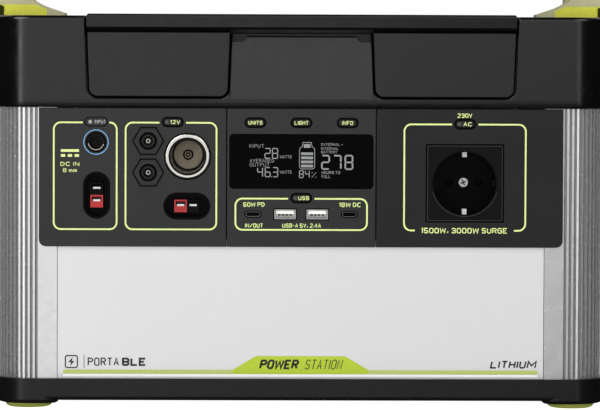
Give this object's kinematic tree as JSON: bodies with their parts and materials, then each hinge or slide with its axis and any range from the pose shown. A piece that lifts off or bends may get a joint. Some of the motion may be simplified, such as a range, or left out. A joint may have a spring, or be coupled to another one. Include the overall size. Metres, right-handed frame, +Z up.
{
  "type": "power station",
  "caption": "Portable lithium power station with mains, 12 V and USB outlets, a display, side handles and a hinged lid over a cable tray.",
  "frame": {"origin": "on the floor, under the middle of the object", "axes": "+Z up, +X to the right seen from the front along the widest side, the control panels face -Y"},
  "size_m": [0.3874, 0.2598, 0.297],
  "materials": {
    "housing_plastic": "fine moulded grain, satin",
    "panel_plastic": "fine moulded grain, matt",
    "tray_plastic": "matt moulded",
    "post_aluminium": "bead blasted extrusion",
    "sheet_silver": "satin silver powder coat",
    "grille_plastic": "matt moulded",
    "foot_rubber": "moulded soft rubber, yellow-green",
    "handle_grip": "matt sage over-moulding",
    "handle_core": "satin yellow-green",
    "seal_rubber": "soft foam strip",
    "screw_steel": "zinc plated",
    "button_plastic": "satin",
    "window_plastic": "polished, tinted black",
    "port_steel": "nickel plated",
    "port_plastic": "satin moulded",
    "connector_red": "satin moulded",
    "connector_black": "satin moulded",
    "contact_silver": "silver plated",
    "socket_chrome": "bright nickel plate",
    "socket_brass": "dull brass on phenolic board",
    "mains_plastic": "satin gloss moulded",
    "circuit_board": "solder mask with black parts",
    "cell_case": "printed wrap on metal cans",
    "holder_plastic": "matt moulded",
    "deck_steel": "zinc plated sheet",
    "heat_sink": "plain extrusion",
    "lead_red": "silicone cable jacket",
    "fan_plastic": "satin moulded",
    "print_lime": "screen printed, yellow-green",
    "print_dark": "screen printed, black",
    "print_grey": "screen printed, grey",
    "display_segments": "display segments, light grey",
    "ring_blue": "moulded ring, blue",
    "tongue_white": "moulded contact carrier, white"
  },
  "bodies": {
    "root": {"ac_earth_clips": "port_steel", "ac_panel": "panel_plastic", "ac_socket": "mains_plastic", "ac_socket_screw": "screw_steel", "base_screws": "screw_steel", "base_tray": "tray_plastic", "battery_board": "circuit_board", "battery_case": "holder_plastic", "battery_cells": "cell_case", "battery_leads": "lead_red", "car_socket_contact": "socket_brass", "car_socket_shell": "socket_chrome", "charge_controller": "circuit_board", "chassis_deck": "deck_steel", "corner_post_front_left": "post_aluminium", "corner_post_front_right": "post_aluminium", "corner_post_rear_left": "post_aluminium", "corner_post_rear_right": "post_aluminium", "dc_panel": "panel_plastic", "dc_ports": "port_plastic", "display_board": "circuit_board", "display_panel": "panel_plastic", "display_window": "window_plastic", "fan_frames": "fan_plastic", "foot_front_left": "foot_rubber", "foot_front_right": "foot_rubber", "foot_rear_left": "foot_rubber", "foot_rear_right": "foot_rubber", "front_fascia": "sheet_silver", "handle_left_liner": "handle_core", "handle_left_shell": "handle_grip", "handle_right_liner": "handle_core", "handle_right_shell": "handle_grip", "input_jack": "port_plastic", "inverter_board": "heat_sink", "jack_contacts": "port_steel", "lid_hinge_pins": "screw_steel", "power_port_bezels": "port_plastic", "power_port_black_housings": "connector_black", "power_port_contacts": "contact_silver", "power_port_red_housings": "connector_red", "rear_fascia": "sheet_silver", "side_panel_left": "sheet_silver", "side_panel_right": "sheet_silver", "storage_tray": "tray_plastic", "top_housing": "housing_plastic", "usb_a_ports": "port_steel", "usb_c_ports": "port_steel", "vent_grille_left": "grille_plastic", "vent_grille_right": "grille_plastic"},
    "lid": {"lid": "housing_plastic", "lid_seal": "seal_rubber"},
    "units_button": {"units_button": "button_plastic"},
    "light_button": {"light_button": "button_plastic"},
    "info_button": {"info_button": "button_plastic"},
    "dc_button": {"dc_button": "button_plastic"},
    "usb_button": {"usb_button": "button_plastic"},
    "ac_button": {"ac_button": "button_plastic"},
    "fan_rotor_left": {"fan_rotor_left": "fan_plastic"},
    "fan_rotor_right": {"fan_rotor_right": "fan_plastic"}
  },
  "joints": [
    {"name": "lid_hinge", "type": "hinge", "parent": "root", "child": "lid", "pos_m": [0, 0.11, 0.2435], "axis": [-1, 0, 0], "range_deg": [0, 95]},
    {"name": "units_button_press", "type": "slide", "parent": "root", "child": "units_button", "axis": [0, 1, 0], "range_m": [0, 0.0012], "stiffness_N_per_m": 400},
    {"name": "light_button_press", "type": "slide", "parent": "root", "child": "light_button", "axis": [0, 1, 0], "range_m": [0, 0.0012], "stiffness_N_per_m": 400},
    {"name": "info_button_press", "type": "slide", "parent": "root", "child": "info_button", "axis": [0, 1, 0], "range_m": [0, 0.0012], "stiffness_N_per_m": 400},
    {"name": "dc_button_press", "type": "slide", "parent": "root", "child": "dc_button", "axis": [0, 1, 0], "range_m": [0, 0.0012], "stiffness_N_per_m": 400},
    {"name": "usb_button_press", "type": "slide", "parent": "root", "child": "usb_button", "axis": [0, 1, 0], "range_m": [0, 0.0012], "stiffness_N_per_m": 400},
    {"name": "ac_button_press", "type": "slide", "parent": "root", "child": "ac_button", "axis": [0, 1, 0], "range_m": [0, 0.0012], "stiffness_N_per_m": 400},
    {"name": "fan_left_spin", "type": "hinge", "parent": "root", "child": "fan_rotor_left", "pos_m": [-0.1801, 0, 0.144], "axis": [1, 0, 0], "continuous": true},
    {"name": "fan_right_spin", "type": "hinge", "parent": "root", "child": "fan_rotor_right", "pos_m": [0.1801, 0, 0.144], "axis": [1, 0, 0], "continuous": true}
  ]
}
